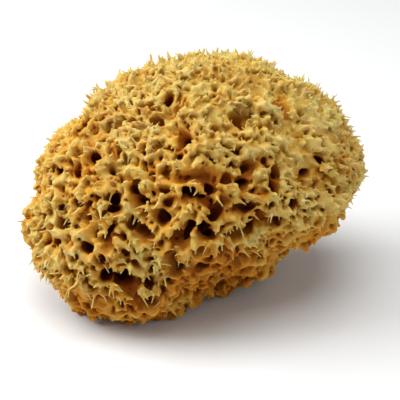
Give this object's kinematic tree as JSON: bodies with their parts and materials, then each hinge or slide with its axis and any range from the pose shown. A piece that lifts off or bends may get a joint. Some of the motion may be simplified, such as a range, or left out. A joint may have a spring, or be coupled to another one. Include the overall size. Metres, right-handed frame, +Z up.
{
  "type": "sea sponge",
  "caption": "Natural bath sponge: a lobed, honeycombed body with open pores and spiky walls, cut flat underneath.",
  "frame": {"origin": "middle of the flat cut underneath, on the surface that the sponge rests on", "axes": "+Z up from the flat cut, +X along the length towards the overhanging end, +Y away from the picture's viewpoint"},
  "size_m": [0.1408, 0.1023, 0.1017],
  "materials": {
    "spongin": "dry, matt, soft golden-tan spongin with orange-brown pores"
  },
  "bodies": {
    "root": {"sponge": "spongin"}
  },
  "joints": []
}
